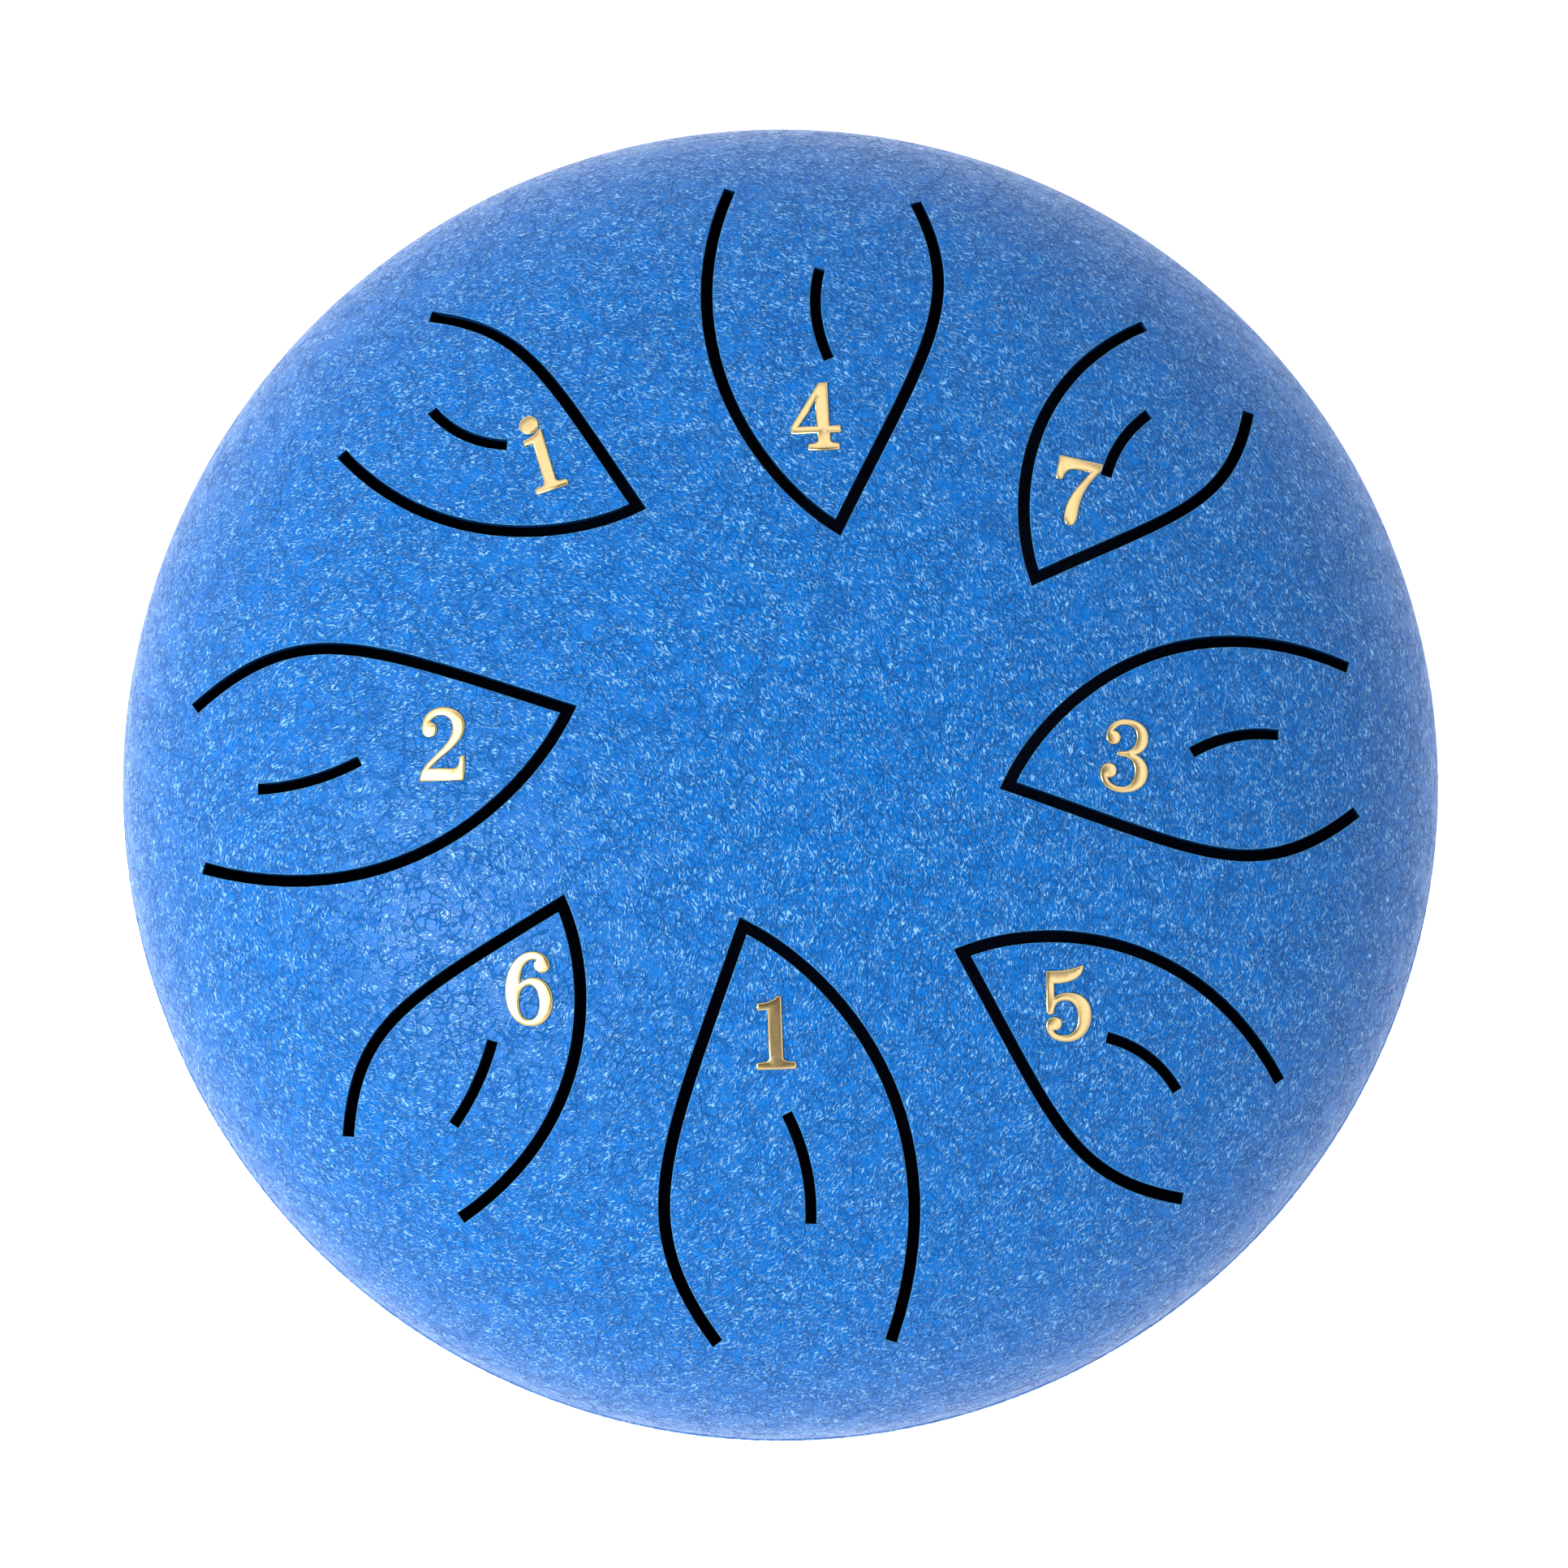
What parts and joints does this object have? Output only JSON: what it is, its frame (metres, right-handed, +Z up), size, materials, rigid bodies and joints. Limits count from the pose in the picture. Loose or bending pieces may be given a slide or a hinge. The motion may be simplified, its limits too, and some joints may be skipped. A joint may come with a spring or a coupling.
{
  "type": "steel tongue drum",
  "caption": "Small closed steel tongue drum: leaf-shaped tongues sawn in a domed blue top, gold stick-on numerals, a sound hole below and rubber feet.",
  "frame": {"origin": "on the ground plane under the centre of the drum", "axes": "+Z up through the crown of the dome, +Y towards tongue 4, +X towards tongue 3"},
  "size_m": [0.152, 0.152, 0.087],
  "materials": {
    "blue_coat": "satin blue baked coat with a leather-like grain",
    "gold_foil": "polished gold metal sticker",
    "black_rubber": "matte black moulded rubber"
  },
  "bodies": {
    "drum_body": {"top_shell": "blue_coat", "bottom_shell": "blue_coat", "weld_seam": "blue_coat", "foot_1": "black_rubber", "foot_2": "black_rubber", "foot_3": "black_rubber"},
    "tongue_1": {"tongue_1": "blue_coat", "numeral_1": "gold_foil"},
    "tongue_2": {"tongue_2": "blue_coat", "numeral_2": "gold_foil"},
    "tongue_3": {"tongue_3": "blue_coat", "numeral_3": "gold_foil"},
    "tongue_4": {"tongue_4": "blue_coat", "numeral_4": "gold_foil"},
    "tongue_5": {"tongue_5": "blue_coat", "numeral_5": "gold_foil"},
    "tongue_6": {"tongue_6": "blue_coat", "numeral_6": "gold_foil"},
    "tongue_7": {"tongue_7": "blue_coat", "numeral_7": "gold_foil"},
    "tongue_1_high": {"tongue_1_high": "blue_coat", "numeral_1_high": "gold_foil", "numeral_1_high_dot": "gold_foil"}
  },
  "joints": [
    {"name": "tongue_1_flex", "type": "hinge", "parent": "drum_body", "child": "tongue_1", "pos_m": [0.00261, -0.06421, 0.06652], "axis": [0.9994, 0.0063, -0.0328], "range_deg": [-0.6, 0.6], "stiffness_Nm_per_rad": 2},
    {"name": "tongue_2_flex", "type": "hinge", "parent": "drum_body", "child": "tongue_2", "pos_m": [-0.06449, -0.00292, 0.06632], "axis": [0.0567, -0.9983, 0.0112], "range_deg": [-0.6, 0.6], "stiffness_Nm_per_rad": 2},
    {"name": "tongue_3_flex", "type": "hinge", "parent": "drum_body", "child": "tongue_3", "pos_m": [0.06343, 0.00233, 0.06743], "axis": [-0.0427, 0.9991, 0.0055], "range_deg": [-0.6, 0.6], "stiffness_Nm_per_rad": 2},
    {"name": "tongue_4_flex", "type": "hinge", "parent": "drum_body", "child": "tongue_4", "pos_m": [0.00477, 0.06357, 0.06689], "axis": [-0.9972, 0.075, -0.0002], "range_deg": [-0.6, 0.6], "stiffness_Nm_per_rad": 2},
    {"name": "tongue_5_flex", "type": "hinge", "parent": "drum_body", "child": "tongue_5", "pos_m": [0.04982, -0.04196, 0.06581], "axis": [0.6467, 0.7627, -0.0033], "range_deg": [-0.6, 0.6], "stiffness_Nm_per_rad": 2},
    {"name": "tongue_6_flex", "type": "hinge", "parent": "drum_body", "child": "tongue_6", "pos_m": [-0.0414, -0.04615, 0.06874], "axis": [0.8042, -0.5886, 0.0819], "range_deg": [-0.6, 0.6], "stiffness_Nm_per_rad": 2},
    {"name": "tongue_7_flex", "type": "hinge", "parent": "drum_body", "child": "tongue_7", "pos_m": [0.04649, 0.04395, 0.06702], "axis": [-0.7692, 0.6279, 0.1183], "range_deg": [-0.6, 0.6], "stiffness_Nm_per_rad": 2},
    {"name": "tongue_1_high_flex", "type": "hinge", "parent": "drum_body", "child": "tongue_1_high", "pos_m": [-0.04387, 0.04186, 0.06963], "axis": [-0.5117, -0.8432, 0.1649], "range_deg": [-0.6, 0.6], "stiffness_Nm_per_rad": 2}
  ]
}
